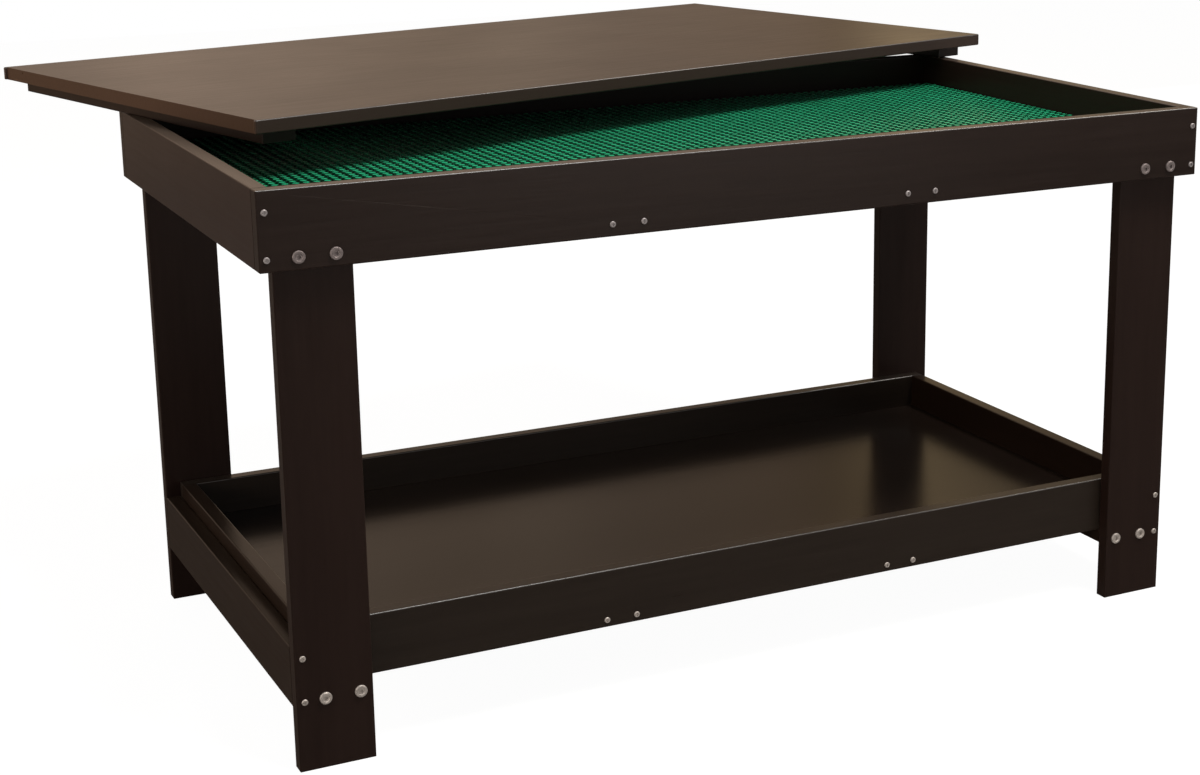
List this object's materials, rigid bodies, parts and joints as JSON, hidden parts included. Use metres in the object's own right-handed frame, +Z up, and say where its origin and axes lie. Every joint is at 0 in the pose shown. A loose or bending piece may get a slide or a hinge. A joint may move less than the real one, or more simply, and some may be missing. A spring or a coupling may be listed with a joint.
{
  "type": "kids table with storage",
  "caption": "Rectangular children's play table: open box top with eight studded base plates, loose lid resting askew on the rim, flat board legs and a shallow storage tray below.",
  "frame": {"origin": "middle of the table's footprint, on the floor plane that the legs stand on", "axes": "+X along the table's length to the right, +Y to the back, +Z up"},
  "size_m": [1.372, 1.2126, 0.6884],
  "materials": {
    "painted_wood": "espresso brown satin paint",
    "plate_plastic": "moulded green",
    "fastener_steel": "zinc plated satin"
  },
  "bodies": {
    "table": {"apron_front": "painted_wood", "apron_back": "painted_wood", "apron_left": "painted_wood", "apron_right": "painted_wood", "box_floor": "painted_wood", "box_brace_left": "painted_wood", "box_brace_right": "painted_wood", "box_cleat_left": "painted_wood", "box_cleat_right": "painted_wood", "baseplate_front_left": "plate_plastic", "baseplate_front_mid_left": "plate_plastic", "baseplate_front_mid_right": "plate_plastic", "baseplate_front_right": "plate_plastic", "baseplate_back_left": "plate_plastic", "baseplate_back_mid_left": "plate_plastic", "baseplate_back_mid_right": "plate_plastic", "baseplate_back_right": "plate_plastic", "leg_front_left": "painted_wood", "leg_front_right": "painted_wood", "leg_back_left": "painted_wood", "leg_back_right": "painted_wood", "end_rail_left": "painted_wood", "end_rail_right": "painted_wood", "bearer_left": "painted_wood", "bearer_right": "painted_wood", "tray_rail_front": "painted_wood", "tray_rail_back": "painted_wood", "tray_end_left": "painted_wood", "tray_end_right": "painted_wood", "tray_floor": "painted_wood", "tray_brace_left": "painted_wood", "tray_brace_right": "painted_wood", "corner_screws": "fastener_steel", "box_brace_screws": "fastener_steel", "floor_screws": "fastener_steel", "upper_leg_bolts": "fastener_steel", "upper_barrel_nuts": "fastener_steel", "end_rail_screws": "fastener_steel", "lower_leg_bolts": "fastener_steel", "lower_barrel_nuts": "fastener_steel", "tray_corner_screws": "fastener_steel", "tray_brace_screws": "fastener_steel", "tray_hold_screws": "fastener_steel"},
    "lid": {"lid_panel": "painted_wood", "lid_batten_left": "painted_wood", "lid_batten_right": "painted_wood", "lid_screws": "fastener_steel"}
  },
  "joints": [
    {"name": "lid_lift", "type": "slide", "parent": "table", "child": "lid", "axis": [0, 0, 1], "range_m": [0, 0.25]}
  ]
}
